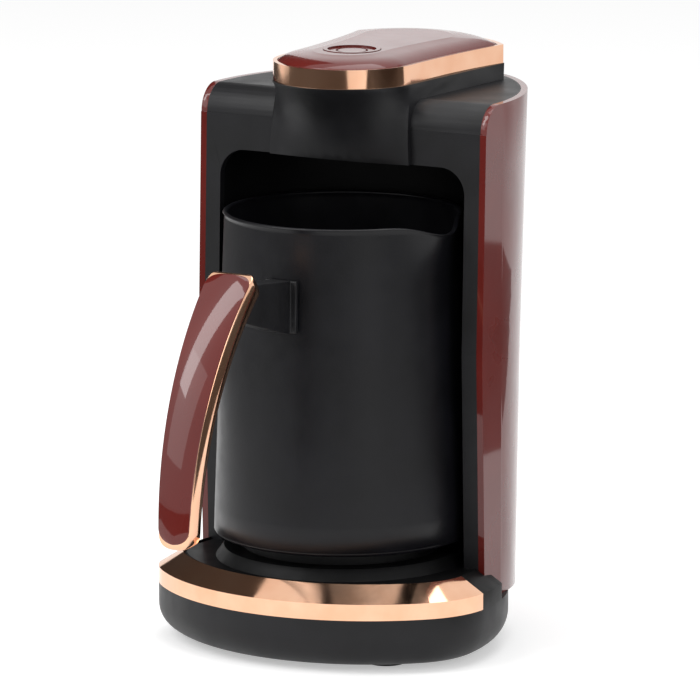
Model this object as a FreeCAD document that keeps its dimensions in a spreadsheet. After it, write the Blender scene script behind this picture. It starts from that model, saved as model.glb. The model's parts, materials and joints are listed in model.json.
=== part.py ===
import FreeCAD, Part
import Sketcher
import math
import os
import re

# An electric pot for Turkish coffee: a heated jug that stands in a niche of its machine.
# Millimetres, +Z up, the front is -Y. The jug's axis stands at Y = axis_y, and every
# piece is drawn about that axis and carried there by its Placement.

SIZES = {
    # the machine's plan, measured from the jug's axis
    "base_half_width": 66.0,
    "base_front": 47.0,
    "base_rear": 72.0,
    "base_shift": 13.0,
    "base_wall": 2.5,
    "base_height": 18.5,
    "base_round": 11.0,
    "foot_height": 1.5,
    "foot_radius": 7.0,
    "foot_stem": 1.9,
    "foot_front_x": 34.0,
    "foot_front_y": -29.0,
    "foot_rear_x": 22.0,
    "foot_rear_y": 34.0,
    "screw_front_x": 30.0,
    "screw_front_y": -14.0,
    "screw_rear_x": 36.0,
    "screw_rear_y": 22.0,
    "screw_head": 2.6,
    "screw_shank": 1.4,
    "gland_radius": 5.5,
    "gland_z": 13.5,
    "plate_thick": 2.0,
    # the rose trim and the deck that it frames
    "trim_band": 6.0,
    "trim_rise": 5.5,
    "trim_width": 9.0,
    "trim_thick": 1.5,
    "trim_end": 14.0,
    "seat_radius": 37.0,
    "seat_height": 5.0,
    "deck_cone": 44.0,
    # the body
    "body_half_width": 57.0,
    "body_top": 202.0,
    "body_wall": 2.4,
    "panel_thick": 2.5,
    "front_y": 1.5,
    "front_bow": 2.6,
    "side_y": 12.0,
    "rear_low": 62.5,
    "rear_mid": 69.5,
    "rear_top": 81.5,
    "shoulder": 10.0,
    "niche_half_width": 51.0,
    "niche_top": 179.0,
    "niche_corner": 10.0,
    "niche_y": 3.4,
    "liner_thick": 1.6,
    # the hood and its cap
    "hood_half_width": 29.0,
    "hood_top": 208.0,
    "hood_wall": 2.6,
    "cap_half_width": 27.0,
    "cap_rear_half_width": 32.0,
    "cap_front": 24.0,
    "cap_rear": 80.0,
    "cap_head_y": 2.0,
    "cap_tail_y": 65.0,
    "band_height": 7.0,
    "band_thick": 1.6,
    "crown": 3.4,
    # the button
    "button_y": 6.8,
    "button_radius": 8.6,
    "button_gap": 0.4,
    "button_travel": 1.5,
    "ring_width": 1.5,
    "stem_radius": 3.4,
    # the jug
    "jug_floor": 40.0,
    "jug_height": 120.0,
    "jug_bottom_radius": 47.5,
    "jug_rim_radius": 44.5,
    "jug_wall": 1.2,
    "jug_base_height": 11.0,
    "post_radius": 9.5,
    "post_height": 3.8,
    "socket_radius": 26.5,
    "socket_depth": 5.0,
    # the handle, an arc about a line along X that narrows towards its free end
    "handle_y": -1.4,
    "handle_z": 57.0,
    "handle_radius": 121.8,
    "handle_thick": 7.0,
    "handle_top_width": 19.2,
    "handle_low_width": 12.9,
    "handle_low": -0.5,
    "handle_high": 49.8,
    "cover_thick": 2.2,
    "cover_proud": 1.2,
    "core_thick": 3.2,
    "edge": 1.0,
    "bracket_width": 10.0,
    "bracket_top": 101.0,
    "bracket_height": 19.0,
}

doc = FreeCAD.newDocument("CoffeeMaker")
sheet = doc.addObject("Spreadsheet::Sheet", "Sizes")
for row, (alias, number) in enumerate(SIZES.items(), start=1):
    sheet.set("A%d" % row, alias)
    sheet.set("B%d" % row, "%g" % number)
    sheet.setAlias("B%d" % row, alias)
doc.recompute()

# Sizes that follow from the driving ones
S = type("Sizes", (), {alias: float(sheet.get(alias)) for alias in SIZES})
S.axis_y = (S.handle_radius + S.cover_proud - S.handle_y - S.rear_top - S.panel_thick) / 2
S.floor_top = S.foot_height + S.base_height
S.niche_floor = S.floor_top + S.trim_band + S.trim_rise - 0.6
S.band_base = S.hood_top
S.band_top = S.hood_top + S.band_height
S.seat_top = S.jug_floor
S.deck_top = S.jug_floor - S.seat_height
S.ledge_start = S.body_wall + 0.5
AXIS = "(Sizes.handle_radius + Sizes.cover_proud - Sizes.handle_y - Sizes.rear_top - Sizes.panel_thick) / 2"

V = FreeCAD.Vector
PIECES = []


def sized(text):
    """The same formula with every size's name led by its sheet's name."""
    return re.sub(r"[a-z_]+[a-z]", lambda m: "Sizes." + m.group() if m.group() in SIZES else m.group(), text)


def primitive(kind, name, at=("0", "0", "0"), turn=None, **sizes):
    """A primitive solid whose sizes and place are formulas of the sheet."""
    solid = doc.addObject("Part::" + kind, name)
    if turn:
        solid.Placement = FreeCAD.Placement(V(), FreeCAD.Rotation(V(*turn[0]), turn[1]))
    for prop, text in sizes.items():
        solid.setExpression(prop, sized(text))
    for letter, text in zip("xyz", at):
        solid.setExpression("Placement.Base." + letter, sized(text))
    return solid


def cylinder(name, radius, height, at=("0", "0", "0"), turn=None, **more):
    return primitive("Cylinder", name, at, turn, Radius=radius, Height=height, **more)


def box(name, width, depth, height, at):
    """A box centred on X, from its front face and its underside."""
    x, y, z = at
    corner = (x + " - (" + width + ") / 2", y, z)
    return primitive("Box", name, corner, None, Length=width, Width=depth, Height=height)


def cut(name, base, *tools):
    for index, tool in enumerate(tools):
        step = doc.addObject("Part::Cut", name if index == len(tools) - 1 else name + "_cut%d" % index)
        step.Base, step.Tool = base, tool
        base = step
    return base


def fuse(name, *solids):
    joined = doc.addObject("Part::MultiFuse", name)
    joined.Shapes = list(solids)
    joined.Refine = True
    return joined


def group(name, *solids):
    """Solids of one kind that stay separate under one name."""
    joined = doc.addObject("Part::Compound", name)
    joined.Links = list(solids)
    return joined


def formed(name, shape):
    """A moulded form that no primitive or sketch feature fits."""
    feature = doc.addObject("Part::Feature", name)
    feature.Shape = shape
    return feature


def piece(label, made):
    """Names a finished sub-part and carries it to the jug's axis."""
    if made.TypeId in ("Part::Box", "Part::Cylinder"):
        made = group(made.Name + "Place", made)
    made.Label = label
    if made.TypeId == "Part::Feature" or made.TypeId.startswith("PartDesign"):
        made.Placement = FreeCAD.Placement(V(0, S.axis_y, 0), FreeCAD.Rotation())
    made.setExpression("Placement.Base.y", AXIS)
    PIECES.append(made)
    return made


def turned(name, points, angle=360):
    """A body revolved about Z from a closed outline of (radius, height) formulas."""
    body = doc.addObject("PartDesign::Body", name)
    sketch = body.newObject("Sketcher::SketchObject", name + "_outline")
    plane = [f for f in body.Origin.OriginFeatures if f.Role == "XZ_Plane"][0]
    sketch.AttachmentSupport = [(plane, "")]
    sketch.MapMode = "FlatFace"
    count = len(points)
    for index in range(count):
        turn = 2 * math.pi * index / count
        after = 2 * math.pi * (index + 1) / count
        start = V(100 + 20 * math.cos(turn), 20 * math.sin(turn), 0)
        end = V(100 + 20 * math.cos(after), 20 * math.sin(after), 0)
        sketch.addGeometry(Part.LineSegment(start, end))
    for index in range(count):
        sketch.addConstraint(Sketcher.Constraint("Coincident", index, 2, (index + 1) % count, 1))
    for index, (radius, height) in enumerate(points):
        for kind, text in (("DistanceX", radius), ("DistanceY", height)):
            if text == "0":
                axis = -2 if kind == "DistanceX" else -1
                sketch.addConstraint(Sketcher.Constraint("PointOnObject", index, 1, axis))
                continue
            mark = "%s%d" % (kind, index)
            number = sketch.addConstraint(Sketcher.Constraint(kind, -1, 1, index, 1, 10.0 + index))
            sketch.renameConstraint(number, mark)
            sketch.setExpression("Constraints." + mark, sized(text))
    spin = body.newObject("PartDesign::Revolution", name + "_turn")
    spin.Profile = sketch
    spin.ReferenceAxis = (sketch, ["V_Axis"])
    spin.Angle = angle
    doc.recompute()
    return body


def three_point(a, b, c):
    return Part.Arc(V(*a), V(*b), V(*c)).toShape()


def arc_about(centre, radius, start, end):
    """An arc from one direction to another, in degrees from +X."""
    turns = [math.radians(start + (end - start) * share) for share in (0, 0.5, 1)]
    return three_point(*[(centre[0] + radius * math.cos(t), centre[1] + radius * math.sin(t), centre[2])
                         for t in turns])


def three_arcs(across, length, way, z, shift, inset):
    """Half an oval as three arcs that meet at 45 degrees, from +X to -X: behind for way 1, in front for way -1."""
    drift = (across - length) / (math.sqrt(2) - 1) / math.sqrt(2)
    side, tip = across - drift, length + drift
    parts = [((drift, 0), side, 0, 45), ((0, -drift), tip, 45, 135), ((-drift, 0), side, 135, 180)]
    return [arc_about((x, shift + way * y, z), radius - inset, way * start, way * end)
            for (x, y), radius, start, end in parts]


def oval(inset, z):
    """The base's plan at a height, drawn in by an inset: tangent arcs in front and behind."""
    front = three_arcs(S.base_half_width, S.base_front, -1, z, -S.base_shift, inset)
    rear = three_arcs(S.base_half_width, S.base_rear, 1, z, -S.base_shift, inset)
    return Part.Wire(Part.__sortEdges__(rear + front))


def raised(wire, height):
    return Part.Face(wire).extrude(V(0, 0, height))


def rounded_edges(shape, radius, chosen):
    edges = [edge for edge in shape.Edges if chosen(edge)]
    return shape.makeFillet(radius, edges)


def at_height(z):
    return lambda edge: abs(edge.BoundBox.ZMin - z) < 1e-3 and abs(edge.BoundBox.ZMax - z) < 1e-3


def stage(inset, z, front, rear):
    """One level of the body's plan: a flat front, straight sides and an oval rear."""
    across = S.body_half_width - inset
    side = S.side_y
    back = three_arcs(S.body_half_width, rear - side, 1, z, side, inset)
    right = Part.makeLine(V(across, front, z), V(across, side, z))
    left = Part.makeLine(V(-across, side, z), V(-across, front, z))
    face = Part.makeLine(V(-across, front, z), V(across, front, z))
    return Part.Wire([right] + back + [left, face])


def body_form(inset, top, front_inset=0.0):
    """The body's bowed front and flared back, lofted through three levels."""
    front = -S.front_y + front_inset
    middle = (S.floor_top + S.body_top) / 2
    levels = [
        (S.floor_top, front + S.front_bow * 0.4, S.rear_low),
        (middle, front - S.front_bow * 0.6, S.rear_mid),
        (S.body_top, front + S.front_bow * 0.4, S.rear_top),
    ]
    form = Part.makeLoft([stage(inset, z, y, rear) for z, y, rear in levels], True, True)
    if top < S.body_top:
        form = form.cut(Part.makeBox(300, 300, 100, V(-150, -150, top)))
    return form


def shoulder_tool():
    """What is taken off along the front of the top to round the shoulders."""
    radius = S.shoulder
    front = -S.front_y + S.front_bow * 0.4
    block = Part.makeBox(200, radius + 10, radius + 10, V(-100, front - 10, S.body_top - radius))
    roll = Part.makeCylinder(radius, 200, V(-100, front + radius, S.body_top - radius), V(1, 0, 0))
    keep = Part.makeBox(200, 20, 40, V(-100, front + radius, S.body_top - radius - 10))
    return block.cut(roll).cut(keep)


def arch(half_width, top, corner, low, near, far):
    """The niche's opening, a doorway with round top corners, as a solid along Y."""
    points = [
        (V(-half_width, near, low), V(-half_width, near, top - corner)),
        (V(-half_width + corner, near, top), V(half_width - corner, near, top)),
        (V(half_width, near, top - corner), V(half_width, near, low)),
    ]
    slack = corner * (1 - math.sqrt(0.5))
    edges = [Part.makeLine(*points[0])]
    edges.append(three_point(points[0][1], (-half_width + slack, near, top - slack), points[1][0]))
    edges.append(Part.makeLine(*points[1]))
    edges.append(three_point(points[1][1], (half_width - slack, near, top - slack), points[2][0]))
    edges.append(Part.makeLine(*points[2]))
    edges.append(Part.makeLine(points[2][1], points[0][0]))
    return Part.Face(Part.Wire(edges)).extrude(V(0, far - near, 0))


def cap_plan(inset, z, front=None):
    """The cap's plan: a round head in front that widens to a broad, gently curved tail."""
    head = S.cap_half_width - inset
    tail = S.cap_rear_half_width - inset
    nose = (S.cap_front if front is None else front) - inset
    rear = S.cap_rear - inset
    y_head, y_tail = S.cap_head_y, S.cap_tail_y - inset
    waist = (head + tail) / 2 - 1.2
    y_waist = (y_head + y_tail) / 2
    return Part.Wire([
        three_point((-head, y_head, z), (0, -nose, z), (head, y_head, z)),
        three_point((head, y_head, z), (waist, y_waist, z), (tail, y_tail, z)),
        three_point((tail, y_tail, z), (0, rear, z), (-tail, y_tail, z)),
        three_point((-tail, y_tail, z), (-waist, y_waist, z), (-head, y_head, z)),
    ])


def hood_plan(z, half_width, y_head, front, tail):
    """The hood's own plan, wider than the cap where it meets the body."""
    waist = (half_width + tail) / 2 - 0.3
    y_waist = (y_head + S.cap_tail_y) / 2
    return Part.Wire([
        three_point((-half_width, y_head, z), (0, -front, z), (half_width, y_head, z)),
        three_point((half_width, y_head, z), (waist, y_waist, z), (tail, S.cap_tail_y, z)),
        three_point((tail, S.cap_tail_y, z), (0, S.cap_rear, z), (-tail, S.cap_tail_y, z)),
        three_point((-tail, S.cap_tail_y, z), (-waist, y_waist, z), (-half_width, y_head, z)),
    ])


# The base

def places(kind):
    """Where the four feet or base screws stand: their formulas, then their numbers."""
    spots = []
    for sign in (-1, 1):
        for end in ("front", "rear"):
            x, y = "%s_%s_x" % (kind, end), "%s_%s_y" % (kind, end)
            spots.append(("%d * %s" % (sign, x), y, sign * getattr(S, x), getattr(S, y)))
    return spots


def upright(radius, x, y, low, top):
    return Part.makeCylinder(radius, top - low, V(x, y, low))


def base_shell():
    """The base's tray, with holes for the feet, the screws and the cord's bush."""
    low = S.foot_height
    floor = low + S.base_wall
    outside = rounded_edges(raised(oval(0, low), S.base_height), S.base_round, at_height(low))
    inside = raised(oval(S.base_wall, floor), S.base_height)
    inside = rounded_edges(inside, S.base_round - S.base_wall, at_height(floor))
    holes = [upright(S.foot_stem + 0.1, x, y, 0, 10) for _, _, x, y in places("foot")]
    for _, _, x, y in places("screw"):
        holes.append(upright(S.screw_shank + 0.1, x, y, 0, 10))
        holes.append(upright(S.screw_head + 0.1, x, y, 0, low + 1.6))
    back = S.base_rear - S.base_shift
    for radius, start in ((S.gland_radius - 1.45, 30), (S.gland_radius + 0.05, back - 1)):
        holes.append(Part.makeCylinder(radius, 60, V(0, start, S.gland_z), V(0, 1, 0)))
    return piece("base_shell", formed("BaseShell", outside.cut(inside).cut(holes)))


def rubber_feet():
    feet = []
    for number, (x, y, _, _) in enumerate(places("foot")):
        pad = cylinder("FootPad%d" % number, "foot_radius", "foot_height", (x, y, "0"))
        stem = cylinder("FootStem%d" % number, "foot_stem", "base_wall + foot_height + 2", (x, y, "0"))
        feet.append(fuse("Foot%d" % number, pad, stem))
    return piece("rubber_feet", group("RubberFeet", *feet))


def sloped_ring(inset, z, band):
    """A solid of the base's plan with an upright band and a sloping top."""
    band_part = raised(oval(inset, z), band)
    top = oval(inset + S.trim_width, z + band + S.trim_rise)
    return band_part.fuse(Part.makeLoft([oval(inset, z + band), top], True, True)).removeSplitter()


def front_part():
    """The half space in front of the place where the trim ends."""
    return Part.makeBox(200, 100, 60, V(-100, -S.trim_end - 100, 0))


def trim_ring():
    """The rose crescent round the front: a skin over the deck's rim."""
    outside = sloped_ring(0, S.floor_top, S.trim_band)
    inside = sloped_ring(S.trim_thick, S.floor_top - 0.01, S.trim_band - 0.59)
    core = raised(oval(S.trim_width, 0), 100)
    return piece("trim_ring", formed("TrimRing", outside.common(front_part()).cut([inside, core])))


def front_face():
    """Where the body's front stands at its foot."""
    return -S.front_y + S.front_bow * 0.4


def deck_form():
    """The deck's outer form: its rim, its floor, the step under the liner, the cone and the seat."""
    front = front_face()
    ahead = Part.makeBox(200, 105, 60, V(-100, front - 100, 0))
    behind_trim = Part.makeBox(200, S.trim_end + front + 5, 60, V(-100, -S.trim_end, 0))
    core = raised(oval(S.trim_width, 0), 100)
    rim = sloped_ring(0, S.floor_top, S.trim_band).common(behind_trim).cut(core)
    under = sloped_ring(S.trim_thick, S.floor_top, S.trim_band - 0.6).common(ahead)
    body = body_form(-S.panel_thick, S.body_top)
    half = S.niche_half_width - 0.3
    tongue = arch(half, S.niche_floor, 0.5, S.floor_top, front - 5, 0.0)
    step = upright(half, 0, 0, S.floor_top, S.niche_floor)
    ledge = niche_drum(S.niche_half_width + S.liner_thick, S.floor_top, S.niche_floor, S.ledge_start)
    cone = Part.makeCone(S.deck_cone + 3, S.deck_cone, S.deck_top - S.niche_floor, V(0, 0, S.niche_floor))
    seat = upright(S.seat_radius, 0, 0, S.deck_top, S.seat_top)
    seat = seat.makeFillet(1.0, [edge for edge in seat.Edges if at_height(S.seat_top)(edge)])
    plate = raised(oval(S.base_wall + 0.1, S.floor_top - S.plate_thick), S.plate_thick)
    return under.fuse(rim).cut(body).fuse([tongue, step, ledge, cone, seat, plate])


def deck_hollow():
    """The room under the deck: three stacked drums that follow its steps."""
    low = S.floor_top - S.plate_thick - 1
    drums = [
        (S.niche_half_width - 5, S.niche_floor - 2.4),
        (S.seat_radius + 3, S.deck_top - 2.4),
        (S.seat_radius - 5, S.deck_top),
    ]
    return [upright(radius, 0, 0, low, top) for radius, top in drums]


def base_deck():
    """The deck with its screw bosses, which stand on the base's floor."""
    deck = deck_form().cut(deck_hollow())
    floor = S.foot_height + S.base_wall
    bosses = [upright(S.screw_shank + 1.8, x, y, floor, S.deck_top - 2) for _, _, x, y in places("screw")]
    bores = [upright(S.screw_shank + 0.05, x, y, 0, S.floor_top - 4) for _, _, x, y in places("screw")]
    bores.append(upright(S.post_radius - 2, 0, 0, 0, 100))
    return piece("base_deck", formed("BaseDeck", deck.fuse(bosses).cut(bores).removeSplitter()))


def connector_post():
    """The round contact post in the middle of the seat."""
    return piece("connector_post", turned("ConnectorPost", [
        ("0", "jug_floor - seat_height - 4"),
        ("post_radius - 2.2", "jug_floor - seat_height - 4"),
        ("post_radius - 2.2", "jug_floor"),
        ("post_radius", "jug_floor"),
        ("post_radius", "jug_floor + post_height - 1"),
        ("post_radius - 1", "jug_floor + post_height"),
        ("4.6", "jug_floor + post_height"),
        ("4.6", "jug_floor + post_height - 2"),
        ("3", "jug_floor + post_height - 2"),
        ("3", "jug_floor + post_height"),
        ("0", "jug_floor + post_height"),
    ]))


def contact_ring():
    return piece("contact_ring", turned("ContactRing", [
        ("3", "jug_floor + post_height - 2"),
        ("4.6", "jug_floor + post_height - 2"),
        ("4.6", "jug_floor + post_height - 1"),
        ("3", "jug_floor + post_height - 1"),
    ]))


def power_board():
    """The mains board that lies in the base behind the connector."""
    return piece("power_board", box("PowerBoard", "50", "26", "1.6", ("0", "18", "foot_height + base_wall + 3")))


def board_posts():
    posts = [
        cylinder("BoardPost%d%d" % (x > 0, y > 30), "2.5", "3", ("%d" % x, "%d" % y, "foot_height + base_wall"))
        for x in (-22, 22) for y in (22, 40)
    ]
    return piece("board_posts", group("BoardPosts", *posts))


def power_parts():
    """The relay, the supply's transformer and its capacitor."""
    top = "foot_height + base_wall + 4.6"
    relay = box("Relay", "15", "11", "8.4", ("-14", "26", top))
    transformer = box("Transformer", "14", "13", "8.8", ("5", "24", top))
    capacitor = cylinder("Capacitor", "4", "8.6", ("18", "32", top))
    return piece("power_parts", group("PowerParts", relay, transformer, capacitor))


def cord_gland():
    """The bush in the back of the base where the mains cord enters."""
    turn = ((1, 0, 0), -90)
    back = "base_rear - base_shift"
    flange = cylinder("GlandFlange", "gland_radius", "3", ("0", back + " - 1", "gland_z"), turn)
    barrel = cylinder("GlandBarrel", "gland_radius - 1.5", "8", ("0", back + " - 8", "gland_z"), turn)
    bore = cylinder("GlandBore", "gland_radius - 2.9", "20", ("0", back + " - 12", "gland_z"), turn)
    return piece("cord_gland", cut("CordGland", fuse("GlandSolid", flange, barrel), bore))


def bottom_screws():
    screws = []
    for number, (x, y, _, _) in enumerate(places("screw")):
        at = (x, y, "foot_height")
        head = cylinder("BaseHead%d" % number, "screw_head", "1.6", at)
        shank = cylinder("BaseShank%d" % number, "screw_shank", "base_height - 5", at)
        screws.append(fuse("BaseScrew%d" % number, head, shank))
    return piece("bottom_screws", group("BottomScrews", *screws))


# The body

def hood_solid():
    """The hood: flush with the frame at its foot, leaning out to a round head at its top."""
    foot = S.niche_top - 0.01
    height = S.hood_top - foot
    face = S.front_y + S.front_bow * 0.3
    tail = S.cap_rear_half_width
    sections = [
        hood_plan(foot, S.hood_half_width, -face - 0.8, face + 3.0, tail),
        hood_plan(foot + height * 0.5, S.hood_half_width - 0.8, -face, face + 8.5, tail),
        hood_plan(S.hood_top, S.cap_half_width + 0.6, S.cap_head_y, S.cap_front + 0.6, tail + 0.4),
    ]
    return Part.makeLoft(sections, True)


def shell_form():
    """The body's moulding: frame, hood and floor, without the room inside and the niche."""
    above = Part.makeBox(300, 300, 60, V(-150, -150, S.body_top))
    ahead = Part.makeBox(300, 170, 300, V(-150, -150, 0))
    hood = hood_solid().common(body_form(0, S.body_top).fuse([above, ahead]))
    outside = body_form(0, S.body_top).cut(shoulder_tool()).fuse(hood)
    front_wall = S.body_wall + 0.8
    hollow = body_form(S.body_wall, S.body_top - S.body_wall, front_wall)
    hollow = hollow.cut(shoulder_tool().translated(V(0, front_wall, -S.body_wall)))
    hollow = hollow.cut(Part.makeBox(300, 300, S.floor_top + S.plate_thick, V(-150, -150, 0)))
    low = S.niche_top + S.liner_thick + 1
    inset = S.hood_wall + 1.0
    room = Part.makeLoft([
        cap_plan(inset, low, S.front_y + 3.2),
        cap_plan(inset, S.hood_top - S.hood_wall, S.cap_front - 5.5),
    ], True, True)
    door = arch(S.niche_half_width, S.niche_top, S.niche_corner, 0, -60, S.body_wall + 4)
    ledge = niche_drum(S.niche_half_width + S.liner_thick + 0.1, 0, S.niche_floor, S.ledge_start - 0.05)
    return outside.cut(hollow).cut([room, door, ledge]).removeSplitter()


def body_shell():
    stem_hole = upright(S.stem_radius + 0.5, 0, S.button_y, S.hood_top - 20, S.hood_top + 20)
    return piece("body_shell", formed("BodyShell", shell_form().cut(stem_hole)))


def niche_drum(radius, low, top, near):
    """The niche's plan as an upright solid: straight sides from a plane, then half a drum."""
    sides = Part.makeBox(2 * radius, S.niche_y - near, top - low, V(-radius, near, low))
    ahead = Part.makeBox(300, 150 + S.niche_y, 400, V(-150, -150, 0))
    return upright(radius, 0, S.niche_y, low, top).cut(ahead).fuse(sides).removeSplitter()


def niche_liner():
    """The U-shaped wall round the jug, with its ceiling, up to the back of the body's front."""
    outer = niche_drum(S.niche_half_width + S.liner_thick, S.niche_floor, S.niche_top + S.liner_thick, -0.4)
    inner = niche_drum(S.niche_half_width, 0, S.niche_top, -1.0)
    sensor_hole = upright(3.6, 0, 26, S.niche_top - 5, S.niche_top + 5)
    return piece("niche_liner", formed("NicheLiner", outer.cut([inner, shell_form(), sensor_hole])))


def wrap_panel():
    """The glossy panel that wraps the sides and the back."""
    outside = body_form(-S.panel_thick, S.body_top)
    core = body_form(0, S.body_top, -20)
    panel = outside.cut(core).cut(shoulder_tool())
    lead = Part.makeBox(2 * S.body_half_width, 80, 300, V(-S.body_half_width, -80, 0))
    return piece("wrap_panel", formed("WrapPanel", panel.cut(lead)))


def boil_sensor():
    """The eye in the niche's ceiling that watches the foam."""
    lens = cylinder("SensorLens", "3.4", "liner_thick + 1", ("0", "26", "niche_top"))
    collar = cylinder("SensorCollar", "5", "4", ("0", "26", "niche_top + liner_thick"))
    return piece("boil_sensor", fuse("BoilSensor", lens, collar))


# The cap and its button

def hood_band():
    outer = raised(cap_plan(0, S.band_base), S.band_height)
    inner = raised(cap_plan(S.band_thick, S.band_base - 1), S.band_height + 2)
    return piece("hood_band", formed("HoodBand", outer.cut(inner)))


def crowned(inset, low):
    """The cap's plan under a soft crown, through plans drawn in towards the middle."""
    top = S.band_top
    steps = [(0.0, top - 0.2), (2.5, top + S.crown * 0.42), (6.5, top + S.crown * 0.76), (13.0, top + S.crown)]
    plans = [cap_plan(inset, low)] + [cap_plan(inset + d, z) for d, z in steps]
    wall = raised(plans[0], steps[0][1] - low)
    dome = Part.makeLoft(plans[1:], True)
    return wall.fuse(dome)


def hood_top():
    """The crowned cap, with a stepped well for the button and its ring."""
    inset = S.band_thick + 0.05
    under = raised(cap_plan(inset + 2.2, S.band_base - 1), S.band_height - 1.5)
    face = S.band_top + S.crown
    wells = [
        (S.button_radius + S.button_gap, S.band_top - 1.6),
        (S.button_radius + S.button_gap + S.ring_width + 0.05, face - 2.0),
        (S.stem_radius + 2.0, S.band_base - 2),
    ]
    tools = [under] + [upright(radius, 0, S.button_y, low, low + 40) for radius, low in wells]
    return piece("hood_top", formed("HoodTop", crowned(inset, S.band_base).cut(tools)))


def button_ring():
    """The thin ring let into the cap round the button."""
    base = "hood_top + band_height + crown - 2"
    outer = cylinder("RingOuter", "button_radius + button_gap + ring_width", "2.2", ("0", "button_y", base))
    inner = cylinder("RingInner", "button_radius + button_gap", "4", ("0", "button_y", base + " - 1"))
    return piece("button_ring", cut("ButtonRing", outer, inner))


def button_cap():
    """The press button, a round cap with a shallow ring in its face and a stem below."""
    top = "hood_top + band_height + crown"
    face = cylinder("ButtonFace", "button_radius", "2.2", ("0", "button_y", top + " - 2.6"))
    ring_out = cylinder("ButtonRingOuter", "button_radius - 2.6", "1", ("0", "button_y", top + " - 0.8"))
    ring_in = cylinder("ButtonRingInner", "button_radius - 3.4", "1", ("0", "button_y", top + " - 0.8"))
    stem = cylinder("ButtonStem", "stem_radius", "band_height + crown + 5.5 - button_travel",
                    ("0", "button_y", "hood_top - 8 + button_travel"))
    solid = fuse("ButtonSolid", cut("ButtonGrooved", face, cut("ButtonGroove", ring_out, ring_in)), stem)
    return piece("button_cap", solid)


# The jug

def jug_radius(z):
    share = (z - S.jug_floor) / S.jug_height
    return S.jug_bottom_radius + (S.jug_rim_radius - S.jug_bottom_radius) * share


def jug_vessel():
    low = S.jug_floor + S.jug_base_height
    rim = S.jug_floor + S.jug_height
    wall = S.jug_wall
    outside = Part.makeCone(jug_radius(low), S.jug_rim_radius, rim - low, V(0, 0, low))
    inside = Part.makeCone(jug_radius(low) - wall, S.jug_rim_radius - wall, rim - low, V(0, 0, low + 1.6))
    beak_out = spout(0.0)
    beak_in = spout(wall)
    vessel = outside.fuse(beak_out).cut(inside).cut(beak_in)
    return piece("jug_vessel", formed("JugVessel", vessel.removeSplitter()))


def spout(inset):
    """The pouring lip on the jug's right: a small beak that grows out of the rim."""
    rim = S.jug_floor + S.jug_height
    reach = S.jug_rim_radius + 4.5 - inset
    root = S.jug_rim_radius * 0.86
    half = 15.0 - inset
    lift = 0.0 if inset == 0 else 3.0
    low = V(S.jug_rim_radius - 1.0 - inset, 0, rim - 17)
    mouth = Part.Wire([
        Part.makeLine(V(root, -half, rim + lift), V(reach, 0, rim + lift)),
        Part.makeLine(V(reach, 0, rim + lift), V(root, half, rim + lift)),
        Part.makeLine(V(root, half, rim + lift), V(root, -half, rim + lift)),
    ])
    small = 0.02
    point = Part.Wire([
        Part.makeLine(V(low.x - 1, -small, low.z), V(low.x, 0, low.z)),
        Part.makeLine(V(low.x, 0, low.z), V(low.x - 1, small, low.z)),
        Part.makeLine(V(low.x - 1, small, low.z), V(low.x - 1, -small, low.z)),
    ])
    return Part.makeLoft([point, mouth], True, True)


def jug_base():
    """The jug's foot, with the round recess that drops over the contact post."""
    return piece("jug_base", turned("JugBase", [
        ("socket_radius", "jug_floor"),
        ("jug_bottom_radius - 1", "jug_floor"),
        ("jug_bottom_radius", "jug_floor + 1"),
        ("jug_bottom_radius + (jug_rim_radius - jug_bottom_radius) * jug_base_height / jug_height",
         "jug_floor + jug_base_height"),
        ("jug_bottom_radius - 3.5", "jug_floor + jug_base_height"),
        ("jug_bottom_radius - 3.5", "jug_floor + 2.5"),
        ("socket_radius + 2", "jug_floor + 2.5"),
        ("socket_radius + 2", "jug_floor + socket_depth + 1.5"),
        ("7", "jug_floor + socket_depth + 1.5"),
        ("7", "jug_floor + socket_depth"),
        ("socket_radius", "jug_floor + socket_depth"),
    ]))


def heater_plate():
    return piece("heater_plate", cylinder("HeaterPlate", "38", "2", ("0", "0", "jug_floor + jug_base_height - 2")))


def heating_element():
    """The tube element pressed under the plate, an open ring with an eight-sided section."""
    middle = "jug_floor + jug_base_height - 4.2"
    section = []
    for corner in range(8):
        turn = math.radians(22.5 + 45 * corner)
        section.append(("33 + %.4f" % (2.38 * math.cos(turn)), "%s + %.4f" % (middle, 2.38 * math.sin(turn))))
    return piece("heating_element", turned("HeatingElement", section, 320))


def jug_socket():
    return piece("jug_socket", turned("JugSocket", [
        ("0", "jug_floor + socket_depth + 0.2"),
        ("6.8", "jug_floor + socket_depth + 0.2"),
        ("6.8", "jug_floor + socket_depth + 1.5"),
        ("10", "jug_floor + socket_depth + 1.5"),
        ("10", "jug_floor + socket_depth + 3"),
        ("0", "jug_floor + socket_depth + 3"),
    ]))


def strap(radius, thick, inset, low, high):
    """A bent strap: part of a thick-walled ring about the handle's centre line, tapered across."""
    def point(reach, angle):
        turn = math.radians(angle)
        return V(-50, S.handle_y - reach * math.cos(turn), S.handle_z + reach * math.sin(turn))

    middle = (low + high) / 2
    inner = radius - thick
    edges = [
        three_point(point(radius, low), point(radius, middle), point(radius, high)),
        Part.makeLine(point(radius, high), point(inner, high)),
        three_point(point(inner, high), point(inner, middle), point(inner, low)),
        Part.makeLine(point(inner, low), point(radius, low)),
    ]
    ring = Part.Face(Part.Wire(edges)).extrude(V(100, 0, 0))
    bottom = point(S.handle_radius, S.handle_low).z
    top = point(S.handle_radius, S.handle_high).z
    slope = (S.handle_top_width - S.handle_low_width) / 2 / (top - bottom)
    extra = 30
    wide = S.handle_top_width / 2 + slope * extra - inset
    narrow = S.handle_low_width / 2 - slope * extra - inset
    corners = [(-wide, top + extra), (wide, top + extra), (narrow, bottom - extra), (-narrow, bottom - extra)]
    outline = Part.makePolygon([V(x, -200, z) for x, z in corners + corners[:1]])
    return ring.common(Part.Face(outline).extrude(V(0, 260, 0)))


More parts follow.
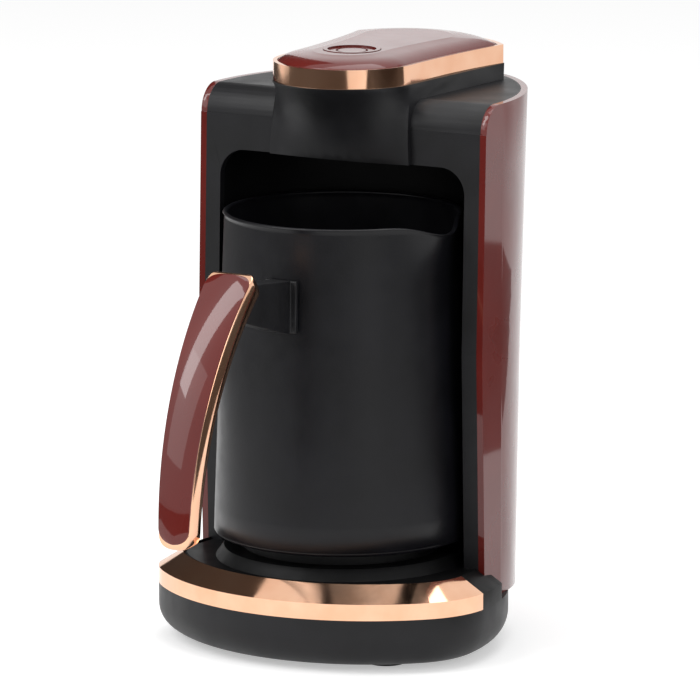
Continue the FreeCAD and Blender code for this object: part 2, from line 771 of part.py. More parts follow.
def cross_edges(shape):
    """The straight edges that run across the handle at its ends."""
    return [edge for edge in shape.Edges if edge.BoundBox.XLength > 4 and edge.BoundBox.YLength < 0.01]


def rim_angle(rim):
    """The angle that a rim takes up along the handle's outer face."""
    return math.degrees(rim / S.handle_radius)


def handle_frame():
    """The rose frame of the handle, with a tray for the cover and one for the grip."""
    outside = strap(S.handle_radius, S.handle_thick, 0, S.handle_low, S.handle_high)
    outside = outside.makeFillet(2.5, cross_edges(outside))
    low, high = S.handle_low + rim_angle(S.edge), S.handle_high - rim_angle(S.edge)
    tray = strap(S.handle_radius + 1, S.cover_thick + 1, S.edge, low, high)
    inner_radius = S.handle_radius - S.handle_thick
    grip = strap(inner_radius + S.core_thick, S.core_thick + 1, S.edge, low, high)
    return piece("handle_frame", formed("HandleFrame", outside.cut(tray).cut(grip)))


def handle_cover():
    """The glossy cover on the handle's outer face, proud of its frame."""
    inset = S.edge + 0.05
    rim = rim_angle(inset)
    cover = strap(S.handle_radius + S.cover_proud, S.cover_thick + S.cover_proud, inset,
                  S.handle_low + rim, S.handle_high - rim)
    outer = [e for e in cover.Edges
             if min(math.hypot(v.Y - S.handle_y, v.Z - S.handle_z) for v in e.Vertexes) > S.handle_radius + 0.5]
    cover = cover.makeChamfer(1.0, outer)
    return piece("handle_cover", formed("HandleCover", cover))


def handle_core():
    """The black inner side that the fingers close on."""
    inset = S.edge + 0.05
    rim = rim_angle(inset)
    inner_radius = S.handle_radius - S.handle_thick
    core = strap(inner_radius + S.core_thick - 0.05, S.core_thick + 0.8, inset,
                 S.handle_low + rim, S.handle_high - rim)
    return piece("handle_core", formed("HandleCore", core))


def bracket_outline():
    """The bracket's side view: the jug's wall on one side, the handle's inner side on the other."""
    top = S.jug_floor + S.bracket_top
    low = top - S.bracket_height
    reach = S.handle_radius - S.handle_thick - 0.85

    def handle_side(z):
        return S.handle_y - math.sqrt(reach ** 2 - (z - S.handle_z) ** 2) + 0.05

    far_top, far_low = top + 3.0, top - 8.0
    near = -jug_radius(low) + 6
    return [(near, top), (-jug_radius(top) - 2, top), (handle_side(far_top), far_top),
            (handle_side(far_low), far_low), (-jug_radius(low) - 3, low), (near, low)]


def bracket_block(half):
    points = [V(-half, y, z) for y, z in bracket_outline()]
    return Part.Face(Part.makePolygon(points + points[:1])).extrude(V(2 * half, 0, 0))


def jug_cone(grow):
    """The jug's outer surface, moved outwards."""
    return Part.makeCone(S.jug_bottom_radius + grow, S.jug_rim_radius + grow, S.jug_height, V(0, 0, S.jug_floor))


def handle_bracket():
    """The black bracket that carries the handle on the jug's wall."""
    half = S.bracket_width / 2
    arm = bracket_block(half - 0.8)
    plate = bracket_block(half + 1.5).common(jug_cone(1.8))
    bracket = plate.fuse(arm).cut(jug_cone(0.05))
    return piece("handle_bracket", formed("HandleBracket", bracket.removeSplitter()))


def handle_rivets():
    """Two rivets from inside the jug's wall into the bracket."""
    rivets = []
    top = S.jug_floor + S.bracket_top
    for drop in (5.0, 14.0):
        z = top - drop
        wall = jug_radius(z) - S.jug_wall
        head = Part.makeCylinder(3.0, 1.4, V(0, -wall + 1.0, z), V(0, -1, 0))
        rivets.append(head.cut(jug_cone(0).cut(jug_cone(-S.jug_wall))))
    return piece("handle_rivets", formed("HandleRivets", Part.makeCompound(rivets)))


def thermostat():
    """The safety cut-out on the heater plate."""
    top = "jug_floor + jug_base_height - 2"
    can = cylinder("ThermostatCan", "6.5", "1.8", ("0", "19", top + " - 1.8"))
    tabs = box("ThermostatTabs", "16", "3", "0.6", ("0", "17.5", top + " - 2.4"))
    return piece("thermostat", fuse("Thermostat", can, tabs))


def control_board():
    """The board in the hood that carries the switch and the buzzer."""
    return piece("control_board", box("ControlBoard", "38", "40", "1.6", ("0", "0", "hood_top - 14")))


def tact_switch():
    top = "hood_top - 12.4"
    body = box("SwitchBody", "6", "6", "3.4", ("0", "button_y - 3", top))
    key = cylinder("SwitchKey", "1.7", "0.9", ("0", "button_y", top + " + 3.4"))
    return piece("tact_switch", fuse("TactSwitch", body, key))


def buzzer():
    return piece("buzzer", cylinder("Buzzer", "6", "6.5", ("9", "26", "hood_top - 12.4")))


def control_posts():
    """The posts under the control board and the screw heads on it."""
    solids = []
    for x in (-15, 15):
        for y in (8, 34):
            number = len(solids)
            at = ("%d" % x, "%d" % y)
            post = cylinder("ControlPost%d" % number, "2.4", "hood_top - 14 - niche_top - liner_thick",
                            at + ("niche_top + liner_thick",))
            head = cylinder("ControlHead%d" % number, "2", "1.2", at + ("hood_top - 12.4",))
            solids += [post, head]
    return piece("control_posts", group("ControlPosts", *solids))


def button_boot():
    """The silicone boot round the button's stem that lifts it and keeps splashes out."""
    low, high = "hood_top", "hood_top + band_height + crown - 2.6"
    boot = turned("ButtonBoot", [
        ("stem_radius + 0.6", low),
        ("stem_radius + 1.8", low),
        ("stem_radius + 1.8", low + " + 1"),
        ("stem_radius + 1.1", low + " + 4"),
        ("stem_radius + 1.8", high + " - 0.8"),
        ("stem_radius + 1.8", high),
        ("stem_radius + 0.6", high),
        ("stem_radius + 0.4", low + " + 4"),
    ])
    boot.setExpression("Placement.Base.y", sized("button_y"))
    return piece("button_boot", group("ButtonBootPlace", boot))


MAKERS = [
    base_shell, rubber_feet, bottom_screws, trim_ring, base_deck, connector_post, contact_ring, power_board,
    board_posts, power_parts, cord_gland, body_shell, niche_liner, wrap_panel, boil_sensor, hood_band,
    hood_top, button_ring, button_cap, button_boot, control_board, control_posts, tact_switch, buzzer, jug_vessel, jug_base,
    heater_plate, heating_element, thermostat, jug_socket, handle_frame, handle_cover, handle_core,
    handle_bracket, handle_rivets,
]
for make in MAKERS:
    make()
doc.recompute()


def check_and_write():
    os.makedirs("parts", exist_ok=True)
    for item in doc.Objects:
        if "Invalid" in item.State or "Error" in item.State:
            raise RuntimeError("failed: " + item.Name)
    for item in PIECES:
        if item.Shape.isNull() or not item.Shape.isValid():
            raise RuntimeError("bad shape: " + item.Label)
    for item in PIECES:
        item.Shape.exportStep("parts/" + item.Label + ".step")
        print("%-16s solids %d volume %.1f" % (item.Label, len(item.Shape.Solids), item.Shape.Volume))


check_and_write()
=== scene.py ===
"""An electric pot for Turkish coffee, dressed on its CAD frame.

Places read from the frame and the helpers for meshes come first. The camera, the floor and the
lamps follow, then one finish for each material, then the pieces drawn here: the jug's wall with
its pouring lip, and the handle. Lengths are in metres.
"""
import json
import math

import bmesh
import bpy
import numpy as np
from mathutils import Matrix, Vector


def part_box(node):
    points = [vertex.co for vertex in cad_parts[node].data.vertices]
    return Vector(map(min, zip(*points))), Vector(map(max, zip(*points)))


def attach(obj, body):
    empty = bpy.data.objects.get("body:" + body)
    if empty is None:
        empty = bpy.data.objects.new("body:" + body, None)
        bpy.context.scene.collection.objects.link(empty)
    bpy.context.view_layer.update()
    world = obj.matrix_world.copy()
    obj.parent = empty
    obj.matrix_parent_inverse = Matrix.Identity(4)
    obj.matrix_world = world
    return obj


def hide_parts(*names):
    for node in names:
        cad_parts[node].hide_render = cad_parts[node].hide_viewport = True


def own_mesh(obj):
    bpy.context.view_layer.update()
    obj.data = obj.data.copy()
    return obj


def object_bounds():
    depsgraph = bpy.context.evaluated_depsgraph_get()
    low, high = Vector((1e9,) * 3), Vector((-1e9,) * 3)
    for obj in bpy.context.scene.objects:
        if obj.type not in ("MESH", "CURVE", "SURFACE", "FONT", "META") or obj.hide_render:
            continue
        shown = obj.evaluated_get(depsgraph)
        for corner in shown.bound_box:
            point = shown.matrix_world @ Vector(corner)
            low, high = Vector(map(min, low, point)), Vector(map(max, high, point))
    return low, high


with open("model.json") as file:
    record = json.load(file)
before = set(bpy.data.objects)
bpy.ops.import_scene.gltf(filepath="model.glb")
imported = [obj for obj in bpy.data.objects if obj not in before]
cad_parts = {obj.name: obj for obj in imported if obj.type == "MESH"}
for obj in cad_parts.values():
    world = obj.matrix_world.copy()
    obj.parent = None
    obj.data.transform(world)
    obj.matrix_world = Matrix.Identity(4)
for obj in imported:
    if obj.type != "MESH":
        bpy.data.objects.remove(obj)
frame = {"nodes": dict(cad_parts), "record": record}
NODES = frame["nodes"]
CAD_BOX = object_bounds()

# Where things are, read from the frame
FOOT_LOW, FOOT_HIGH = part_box("jug_base")
JUG_Y = (FOOT_LOW[1] + FOOT_HIGH[1]) / 2
SKIRT_RADIUS = -FOOT_LOW[0]
VESSEL_LOW, VESSEL_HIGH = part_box("jug_vessel")
VESSEL_RADIUS = -VESSEL_LOW[0]
TOP = CAD_BOX[1][2]

# The photograph's viewpoint
VIEW_TURN = math.radians(29.0)
VIEW_REACH = 2.367
VIEW_HEIGHT = 0.565
VIEW_AIM = (0.0023, JUG_Y + 0.0012, 0.1076)
FOCAL_PIXELS = 6560.0
IMAGE_PIXELS = 700.0
SENSOR = 36.0
FAR_CLIP = 20.0

# The studio
WORLD_LIGHT = 0.55
FLOOR_HALF_SIDE = 6.0
FLOOR_WHITE = 0.80
FLOOR_GLOW = 0.42
MATT = 0.9
CARD_COLOUR = (0.03, 0.025, 0.022, 1.0)
CARD_LIFT = 0.002

# Each lamp's name, place, width, height and watts
LAMPS = (
    ("key", (-0.66, -0.66, 1.2), 0.35, 1.05, 7.0),
    ("front", (-0.9, -1.3, 0.9), 0.9, 1.0, 4.0),
    ("fill", (1.5, -0.5, 0.7), 0.5, 1.2, 5.0),
    ("overhead", (0.1, 0.3, 1.5), 1.0, 1.0, 7.5),
)

# Each dark card's name, middle and two half sides
DARK_CARDS = (
    ("flag_front", (-0.40, -1.50, CARD_LIFT), (1.1, 0, 0), (0, 1.05, 0)),
    ("flag_far_right", (1.55, 0.10, CARD_LIFT), (0.65, 0, 0), (0, 0.8, 0)),
    ("flag_behind", (-0.85, 0.40, 0.85), (0.25, 0.45, 0), (0, 0, 0.63)),
    ("flag_beside", (1.30, -0.05, 0.23), (0, 0.65, 0), (0, 0, 0.22)),
    ("flag_left", (-0.95, 0.25, CARD_LIFT), (0.45, 0, 0), (0, 0.7, 0)),
    ("flag_right", (0.52, 0.45, CARD_LIFT), (0.30, 0, 0), (0, 0.33, 0)),
)


def linear(red, green, blue):
    """A colour's 0 to 255 values as linear light, by the sRGB curve."""
    shares = np.array([red, green, blue]) / 255.0
    curve = np.where(shares <= 0.04045, shares / 12.92, ((shares + 0.055) / 1.055) ** 2.4)
    return (*curve.tolist(), 1.0)


def grey(value):
    """A grey of this linear value."""
    return (value, value, value, 1.0)


# Meshes

MERGE_REACH = 1e-6


def surface(name, points, faces):
    """A mesh object from an array of points and a list of faces."""
    mesh = bpy.data.meshes.new(name)
    mesh.from_pydata(points.reshape(-1, 3).tolist(), [], faces)
    mesh.update()
    thing = bpy.data.objects.new(name, mesh)
    bpy.context.scene.collection.objects.link(thing)
    return thing


def panel(name, centre, along, up):
    """A flat four-sided sheet about a centre, from its two half sides."""
    centre, along, up = (np.array(part, float) for part in (centre, along, up))
    corners = np.stack([centre - along - up, centre + along - up, centre + along + up, centre - along + up])
    return surface(name, corners, [[0, 1, 2, 3]])


def ring_faces(rows, columns):
    """The four-sided faces between the rows of a grid whose columns close on themselves."""
    index = np.arange(rows * columns).reshape(rows, columns)
    after = np.roll(index, -1, axis=1)
    return np.stack([index[:-1], after[:-1], after[1:], index[1:]], 2).reshape(-1, 4).tolist()


def close_form(piece):
    """Merges the points that lie on each other, turns the faces outwards and shades them smooth."""
    form = bmesh.new()
    form.from_mesh(piece.data)
    bmesh.ops.remove_doubles(form, verts=form.verts, dist=MERGE_REACH)
    bmesh.ops.recalc_face_normals(form, faces=form.faces)
    form.to_mesh(piece.data)
    form.free()
    piece.data.shade_smooth()


# Camera, floor and light

def place_camera():
    """The camera stands on a circle about the jug's axis and looks, upright, at the object's middle."""
    data = bpy.data.cameras.new("viewpoint")
    data.sensor_width = SENSOR
    data.lens = FOCAL_PIXELS / IMAGE_PIXELS * SENSOR
    data.clip_end = FAR_CLIP
    camera = bpy.data.objects.new("viewpoint", data)
    bpy.context.scene.collection.objects.link(camera)
    x = VIEW_REACH * math.sin(VIEW_TURN)
    y = JUG_Y - VIEW_REACH * math.cos(VIEW_TURN)
    camera.location = (x, y, VIEW_HEIGHT)
    aim = Vector(VIEW_AIM) - camera.location
    camera.rotation_euler = aim.to_track_quat("-Z", "Y").to_euler()
    bpy.context.scene.camera = camera


def material(name):
    """A new material with its nodes, its links and its shader."""
    made = bpy.data.materials.new(name)
    made.use_nodes = True
    nodes = made.node_tree.nodes
    return made, nodes, made.node_tree.links, nodes["Principled BSDF"]


def seen_directly(nodes, links):
    """1 for the camera's own rays and for those that a gloss or a clear piece sends on."""
    path = nodes.new("ShaderNodeLightPath")
    first = nodes.new("ShaderNodeMath")
    second = nodes.new("ShaderNodeMath")
    first.operation = second.operation = "MAXIMUM"
    links.new(path.outputs["Is Camera Ray"], first.inputs[0])
    links.new(path.outputs["Is Glossy Ray"], first.inputs[1])
    links.new(first.outputs[0], second.inputs[0])
    links.new(path.outputs["Is Transmission Ray"], second.inputs[1])
    return second.outputs[0]


def light_world():
    """White where it is seen or mirrored, a softer grey where it only lights."""
    world = bpy.data.worlds.new("studio")
    bpy.context.scene.world = world
    world.use_nodes = True
    nodes, links = world.node_tree.nodes, world.node_tree.links
    seen = seen_directly(nodes, links)
    strength = nodes.new("ShaderNodeMapRange")
    strength.inputs["To Min"].default_value = WORLD_LIGHT
    strength.inputs["To Max"].default_value = 1.0
    links.new(seen, strength.inputs["Value"])
    background = nodes["Background"]
    background.inputs["Color"].default_value = grey(1.0)
    links.new(strength.outputs[0], background.inputs["Strength"])


def lay_floor():
    """A wide pale floor that glows a little where it is seen, so that it ends in white."""
    floor = panel("floor", (0, 0, 0), (FLOOR_HALF_SIDE, 0, 0), (0, FLOOR_HALF_SIDE, 0))
    made, nodes, links, base = material("floor_white")
    base.inputs["Base Color"].default_value = grey(FLOOR_WHITE)
    base.inputs["Roughness"].default_value = MATT
    base.inputs["Specular IOR Level"].default_value = 0.0
    base.inputs["Emission Color"].default_value = grey(1.0)
    glow = nodes.new("ShaderNodeMath")
    glow.operation = "MULTIPLY"
    glow.inputs[1].default_value = FLOOR_GLOW
    links.new(seen_directly(nodes, links), glow.inputs[0])
    links.new(glow.outputs[0], base.inputs["Emission Strength"])
    floor.data.materials.append(made)


def hang_lamp(name, place, width, height, watts):
    """A soft rectangular lamp that faces the jug's axis at half the object's height."""
    data = bpy.data.lights.new(name, "AREA")
    data.shape = "RECTANGLE"
    data.size, data.size_y = width, height
    data.energy = watts
    lamp = bpy.data.objects.new(name, data)
    bpy.context.scene.collection.objects.link(lamp)
    lamp.location = place
    aim = Vector((0, JUG_Y, TOP / 2)) - lamp.location
    lamp.rotation_euler = aim.to_track_quat("-Z", "Y").to_euler()


def hang_dark_card(name, place, along, up):
    """A dark sheet that only gloss sees, as a studio's black flag."""
    card = panel(name, place, along, up)
    made, _, _, base = material(name + "_cloth")
    base.inputs["Base Color"].default_value = CARD_COLOUR
    base.inputs["Roughness"].default_value = MATT
    card.data.materials.append(made)
    card.visible_camera = False
    card.visible_shadow = False
    card.visible_diffuse = False
    card.visible_transmission = False


def light_studio():
    """A tall strip from the upper left, soft lamps all round, and dark cards for the plating to mirror."""
    for lamp in LAMPS:
        hang_lamp(*lamp)
    for card in DARK_CARDS:
        hang_dark_card(*card)


# Finishes

GRAIN_DEPTH = 0.0002
DRIFT_START = 0.35
DRIFT_END = 0.65
METAL_DRIFT = 0.12


def place_noise(nodes, links, scale, detail):
    """Noise on the object's own place."""
    place = nodes.new("ShaderNodeTexCoord")
    noise = nodes.new("ShaderNodeTexNoise")
    noise.inputs["Scale"].default_value = scale
    noise.inputs["Detail"].default_value = detail
    links.new(place.outputs["Object"], noise.inputs["Vector"])
    return noise.outputs["Fac"]


def add_grain(nodes, links, base, scale, strength):
    """A moulding's fine grain: noise read as a shallow bump."""
    bump = nodes.new("ShaderNodeBump")
    bump.inputs["Strength"].default_value = strength
    bump.inputs["Distance"].default_value = GRAIN_DEPTH
    links.new(place_noise(nodes, links, scale, detail=4.0), bump.inputs["Height"])
    links.new(bump.outputs["Normal"], base.inputs["Normal"])


def vary(nodes, links, socket, scale, low, high):
    """A slow drift of a colour or a roughness between two values, over the middle of the noise's range."""
    ramp = nodes.new("ShaderNodeValToRGB")
    start, end = ramp.color_ramp.elements
    start.position, end.position = DRIFT_START, DRIFT_END
    start.color, end.color = low, high
    links.new(place_noise(nodes, links, scale, detail=3.0), ramp.inputs["Fac"])
    links.new(ramp.outputs["Color"], socket)


def moulded_black(name, sheen, low, high):
    """Satin black moulding with a fine spark-eroded grain and slightly uneven sheen."""
    made, nodes, links, base = material(name)
    base.inputs["Specular IOR Level"].default_value = sheen
    vary(nodes, links, base.inputs["Base Color"], scale=60.0, low=low, high=high)
    vary(nodes, links, base.inputs["Roughness"], scale=90.0, low=grey(0.40), high=grey(0.48))
    add_grain(nodes, links, base, scale=2600.0, strength=0.20)
    return made


def burgundy_gloss():
    """Deep burgundy lacquered moulding: a faint drift of tone under a clear coat."""
    made, nodes, links, base = material("burgundy_gloss")
    base.inputs["Specular IOR Level"].default_value = 0.1
    base.inputs["Coat Weight"].default_value = 0.8
    base.inputs["Coat Roughness"].default_value = 0.04
    low, high = linear(96, 24, 19), linear(106, 29, 23)
    vary(nodes, links, base.inputs["Base Color"], scale=25.0, low=low, high=high)
    vary(nodes, links, base.inputs["Roughness"], scale=40.0, low=grey(0.26), high=grey(0.34))
    add_grain(nodes, links, base, scale=320.0, strength=0.03)
    return made


def rose_plating():
    """Polished rose plating with the small waviness of a plated moulding."""
    made, nodes, links, base = material("rose_plating")
    low, high = linear(236, 182, 148), linear(243, 194, 162)
    base.inputs["Metallic"].default_value = 1.0
    vary(nodes, links, base.inputs["Base Color"], scale=70.0, low=low, high=high)
    vary(nodes, links, base.inputs["Roughness"], scale=120.0, low=grey(0.05), high=grey(0.09))
    add_grain(nodes, links, base, scale=60.0, strength=0.012)
    return made


def jug_coating():
    """The jug's satin non-stick coat: a fine orange peel over pressed steel."""
    made, nodes, links, base = material("jug_coating")
    base.inputs["Specular IOR Level"].default_value = 0.27
    low, high = linear(13, 13, 16), linear(18, 18, 22)
    vary(nodes, links, base.inputs["Base Color"], scale=45.0, low=low, high=high)
    vary(nodes, links, base.inputs["Roughness"], scale=150.0, low=grey(0.30), high=grey(0.36))
    add_grain(nodes, links, base, scale=1500.0, strength=0.16)
    return made


def soft_rubber():
    """Dull dark rubber with a coarse grain."""
    made, nodes, links, base = material("soft_rubber")
    low, high = linear(22, 22, 23), linear(29, 29, 30)
    vary(nodes, links, base.inputs["Base Color"], scale=80.0, low=low, high=high)
    vary(nodes, links, base.inputs["Roughness"], scale=80.0, low=grey(0.70), high=grey(0.82))
    add_grain(nodes, links, base, scale=900.0, strength=0.25)
    return made


def plain_metal(name, low, high, roughness):
    """Drawn or pressed metal with a slight drift of tone and polish."""
    made, nodes, links, base = material(name)
    base.inputs["Metallic"].default_value = 1.0
    vary(nodes, links, base.inputs["Base Color"], scale=200.0, low=low, high=high)
    dullest = roughness + METAL_DRIFT
    vary(nodes, links, base.inputs["Roughness"], scale=260.0, low=grey(roughness), high=grey(dullest))
    add_grain(nodes, links, base, scale=1200.0, strength=0.10)
    return made


def circuit_green():
    """A board's mottled green lacquer."""
    made, nodes, links, base = material("circuit_green")
    low, high = linear(22, 66, 42), linear(40, 96, 60)
    vary(nodes, links, base.inputs["Base Color"], scale=500.0, low=low, high=high)
    base.inputs["Roughness"].default_value = 0.4
    add_grain(nodes, links, base, scale=700.0, strength=0.2)
    return made


def dark_lens():
    """The foam sensor's nearly black, shiny window."""
    made, nodes, links, base = material("dark_lens")
    low, high = linear(16, 13, 18), linear(26, 20, 28)
    vary(nodes, links, base.inputs["Base Color"], scale=300.0, low=low, high=high)
    base.inputs["Roughness"].default_value = 0.08
    add_grain(nodes, links, base, scale=400.0, strength=0.05)
    return made


def paint_frame():
    """Every CAD node takes its slot's finish, but for the deck and the niche liner, painted in shade with a
    darker, duller black, and the burgundy ring.
    """
    black = moulded_black("moulded_black", 0.31, linear(15, 15, 17), linear(21, 21, 24))
    # Painted shade: a darker copy of the black with less sheen, for the deck and the niche that lie in the
    # jug's and the hood's shade
    painted_shade_black = moulded_black("recess_painted_shade_black", 0.12, linear(10, 10, 11), linear(15, 15, 16))
    finishes = {
        "black_plastic": black,
        "component_plastic": black,
        "burgundy": burgundy_gloss(),
        "rose_gold": rose_plating(),
        "jug_coat": jug_coating(),
        "rubber": soft_rubber(),
        "steel": plain_metal("plain_steel", linear(168, 168, 170), linear(190, 190, 192), 0.28),
        "aluminium": plain_metal("pressed_aluminium", linear(182, 183, 186), linear(204, 204, 206), 0.34),
        "brass": plain_metal("contact_brass", linear(190, 150, 84), linear(212, 172, 104), 0.25),
        "board": circuit_green(),
        "lens_plastic": dark_lens(),
    }
    exceptions = {"base_deck": painted_shade_black, "niche_liner": painted_shade_black, "button_ring": finishes["burgundy"]}
    for entry in frame["record"]["subparts"]:
        name = entry["node"]
        for slot in NODES[name].material_slots:
            slot.material = exceptions.get(name, finishes[entry["material_slot"]])
    return finishes


# Rounded edges

WELD_REACH = 2e-6
EDGE_STEPS = 3
CAD_EDGE = math.radians(28.0)
DRAWN_EDGE = math.radians(25.0)

# Each softened node and the width of its rounded edges
SOFTENED = (
    ("body_shell", 0.0012),
    ("base_deck", 0.0007),
    ("wrap_panel", 0.0004),
    ("hood_top", 0.0006),
    ("handle_bracket", 0.0009),
    ("jug_base", 0.0004),
    ("base_shell", 0.0004),
    ("button_cap", 0.0003),
)


def round_edges(piece, width, least_turn):
    """A small rounding along the edges that turn by more than the least turn."""
    bevel = piece.modifiers.new("rounded", "BEVEL")
    bevel.width = width
    bevel.segments = EDGE_STEPS
    bevel.limit_method = "ANGLE"
    bevel.angle_limit = least_turn
    bevel.harden_normals = True


def soften(name, width):
    """Joins a node's loose triangles and rounds its sharp edges a little, as a mould does."""
    weld = NODES[name].modifiers.new("weld", "WELD")
    weld.merge_threshold = WELD_REACH
    round_edges(NODES[name], width, CAD_EDGE)


# The jug's wall

RIM_RADIUS = 0.0445
LIP_TURN = math.radians(-9.0)
LIP_SPREAD = math.radians(15.0)
LIP_REACH = 0.0052
LIP_DROP = 0.0040
LIP_FOOT = 0.022
WALL = 0.0012
BEAD = 0.0011
BEAD_LEAN = 0.2
BEAD_STEPS = 9
SKIRT_RISE = 0.0012
SKIN = 0.00008
TUCK = 6 * SKIN
SKIRT_EDGE = 2 * SKIN
WALL_ROWS = 56
ROW_EASE = 0.8
WALL_COLUMNS = 224


def wall_profile():
    """The wall's section as radius and height, from the axis round to the axis.

    It goes out under the vessel, down inside the foot's wall and out over it as a skirt. From there
    it climbs the cone, its rows closing up towards the rim, turns over the bead on half a circle,
    and comes down inside to the floor.
    """
    low, high = VESSEL_LOW[2], VESSEL_HIGH[2] - BEAD
    rim = RIM_RADIUS - BEAD
    skirt = FOOT_LOW[2] + SKIRT_RISE
    tucked = SKIRT_RADIUS - TUCK
    foot = np.array([
        [0.0, low],
        [tucked, low],
        [tucked, skirt - SKIN],
        [SKIRT_RADIUS + SKIN, skirt + SKIRT_EDGE],
    ])
    share = np.linspace(0.0, 1.0, WALL_ROWS) ** ROW_EASE
    cone = np.stack([VESSEL_RADIUS + (rim - VESSEL_RADIUS) * share, low + (high - low) * share], 1)
    turn = np.linspace(0.0, math.pi, BEAD_STEPS)[1:-1]
    middle = rim - WALL / 2 + BEAD * BEAD_LEAN
    bead = np.stack([middle + BEAD * np.cos(turn), high + BEAD * np.sin(turn)], 1)
    inside = cone[::-1] - np.array([WALL, 0.0])
    inside[:, 1] = np.maximum(inside[:, 1], low + WALL)
    centre = np.array([[0.0, low + WALL]])
    return np.concatenate([foot, cone + np.array([SKIN, 0.0]), bead, inside, centre])


def jug_wall():
    """A turned wall whose rim is pulled out and down at the lip.

    Each profile point turns about the jug's axis. The pull outwards is a bell in the turn times the
    square of the height's share above the lip's foot, and the drop is the same bell times that
    share's fourth power, so the wall swells smoothly into a beak.
    """
    profile = wall_profile()
    radius, height = profile[:, 0][:, None], profile[:, 1][:, None]
    turn = np.linspace(0.0, 2 * math.pi, WALL_COLUMNS, endpoint=False)[None, :]
    off = np.angle(np.exp(1j * (turn - LIP_TURN)))
    bell = np.exp(-((off / LIP_SPREAD) ** 2))
    rise = np.clip((height - (VESSEL_HIGH[2] - LIP_FOOT)) / LIP_FOOT, 0.0, 1.0) ** 2
    reach = radius + LIP_REACH * bell * rise
    z = height - LIP_DROP * bell * rise ** 2
    grid = np.stack([reach * np.cos(turn), JUG_Y + reach * np.sin(turn), z], 2)
    wall = surface("jug_wall", grid, ring_faces(len(profile), WALL_COLUMNS))
    close_form(wall)
    return wall


def dress_jug(finishes):
    """The drawn wall, in the vessel's coat, stands in for the vessel and moves with the jug."""
    wall = jug_wall()
    wall.data.materials.append(finishes["jug_coat"])
    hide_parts("jug_vessel")
    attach(wall, "jug")


# The handle

ARC_Y = JUG_Y - 0.0014
ARC_Z = 0.0570
ARC_RADIUS = 0.1218
ARC_LOW = math.radians(-0.5)
ARC_HIGH = math.radians(49.8)
ARC_STEPS = 120
TOP_WIDTH = 0.0192
LOW_WIDTH = 0.0129
TOP_CORNER = 0.0045
LOW_CORNER = 0.0054
SUNK = 0.0003

BAR_DEPTH = 0.0082
BAR_END = 0.0025
SIDE_CROWN = 0.0003
SIDE_STEPS = 9

COVER_RIM = 0.0005
COVER_END_RIM = 0.0026
COVER_END = 0.0006
COVER_EDGE = 0.0003
COVER_CROWN = 0.0009
COVER_STEPS = 13

GRIP_RIM = 2 * COVER_RIM
GRIP_SHOULDER = 3 * COVER_RIM
GRIP_CREST = 6 * COVER_RIM
GRIP_SWELL = 0.0028
SHOULDER_SHARE = 0.6
GRIP_END = 0.0015
END_CLOSING = 0.96


def half_width(height):
    """The handle's half width, straight from its low end's to its top's."""
    low = ARC_Z + ARC_RADIUS * math.sin(ARC_LOW)
    top = ARC_Z + ARC_RADIUS * math.sin(ARC_HIGH)
    share = (height - low) / (top - low)
    return (LOW_WIDTH + (TOP_WIDTH - LOW_WIDTH) * share) / 2


def corner_loss(from_end, radius):
    """What a corner of this radius takes away at a distance from the end: a quarter circle."""
    missing = np.clip(radius - from_end, 0.0, radius)
    return radius - np.sqrt(radius ** 2 - missing ** 2)


def bar_on_arc(name, section, trim, end_round):
    """A bar whose section is carried along the handle's arc, closed at both ends.

    A section point is a share of the half width, a pull inwards from the side and a depth under
    the outer face. Near an end the depths close in on their middle along a quarter circle, so the
    end is round in the side view, and the width draws in by each end's corner radius.
    """
    low, high = ARC_LOW + trim / ARC_RADIUS, ARC_HIGH - trim / ARC_RADIUS
    spread = (1 - np.cos(np.linspace(0, math.pi, ARC_STEPS))) / 2
    turn = (low + (high - low) * spread)[:, None]
    after_low, before_high = (turn - low) * ARC_RADIUS, (high - turn) * ARC_RADIUS
    share, pull, depth = section.T[:, None, :]
    middle = depth.mean()
    pinch = corner_loss(np.minimum(after_low, before_high), end_round) / np.abs(depth - middle).max()
    reach = ARC_RADIUS - (middle + (depth - middle) * (1 - np.minimum(pinch, END_CLOSING)))
    y = ARC_Y - reach * np.cos(turn)
    z = ARC_Z + reach * np.sin(turn)
    loss = corner_loss(after_low, LOW_CORNER) + corner_loss(before_high, TOP_CORNER)
    x = share * (half_width(z) - pull - loss)
    rows, columns = x.shape
    last = (rows - 1) * columns
    caps = [list(range(columns)), list(range(last + columns - 1, last - 1, -1))]
    bar = surface(name, np.stack([x, y, z], 2), ring_faces(rows, columns) + caps)
    close_form(bar)
    return bar


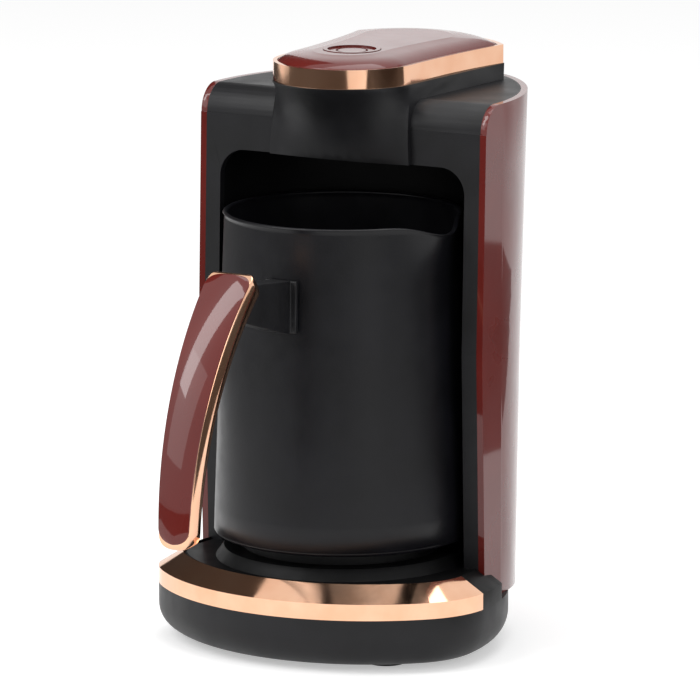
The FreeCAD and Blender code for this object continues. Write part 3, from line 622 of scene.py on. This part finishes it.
def bar_section():
    """Two crowned sides: the pull grows with the square of the distance from the middle depth."""
    down = np.linspace(-1.0, 1.0, SIDE_STEPS)
    side = np.stack([np.ones(SIDE_STEPS), SIDE_CROWN * down ** 2, BAR_DEPTH * (1 + down) / 2], 1)
    return np.concatenate([side, side[::-1] * np.array([-1, 1, 1])])


def cover_section():
    """A crowned face: it falls from the middle with the square of the share of the half width."""
    share = np.linspace(-1.0, 1.0, COVER_STEPS)
    crown = -COVER_EDGE - COVER_CROWN * (1 - share ** 2)
    face = np.stack([share, np.full(COVER_STEPS, COVER_RIM), crown], 1)
    return np.concatenate([[[-1, COVER_RIM, SUNK]], face, [[1, COVER_RIM, SUNK]]])


def grip_section():
    """A swelling grip: a seat sunk in the bar, a shoulder at part of the swell, and a flat crest."""
    shoulder = BAR_DEPTH + SHOULDER_SHARE * GRIP_SWELL
    side = np.array([
        [1, GRIP_RIM, BAR_DEPTH - SUNK],
        [1, GRIP_SHOULDER, shoulder],
        [1, GRIP_CREST, BAR_DEPTH + GRIP_SWELL],
    ])
    return np.concatenate([side[:1] * np.array([-1, 1, 1]), side, side[:0:-1] * np.array([-1, 1, 1])])


def dress_handle(finishes):
    """The rose bar, the crowned burgundy cover on it, and the black grip under it."""
    bar = bar_on_arc("handle_bar", bar_section(), 0.0, BAR_END)
    cover = bar_on_arc("handle_face", cover_section(), COVER_END_RIM, COVER_END)
    grip = bar_on_arc("handle_grip", grip_section(), GRIP_RIM, GRIP_END)
    for piece, node, slot, width in (
        (bar, "handle_frame", "rose_gold", 0.0006),
        (cover, "handle_cover", "burgundy", 0.0003),
        (grip, "handle_core", "black_plastic", 0.0003),
    ):
        round_edges(piece, width, DRAWN_EDGE)
        piece.data.materials.append(finishes[slot])
        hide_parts(node)
        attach(piece, "jug")


# The button's boot

def fold_boot():
    """Gives the silicone boot under the button a mesh of its own."""
    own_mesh(NODES["button_boot"])


def build():
    place_camera()
    light_world()
    lay_floor()
    light_studio()
    finishes = paint_frame()
    for name, width in SOFTENED:
        soften(name, width)
    dress_jug(finishes)
    dress_handle(finishes)
    fold_boot()
    scene = bpy.context.scene
    scene.view_settings.view_transform = "Standard"


build()
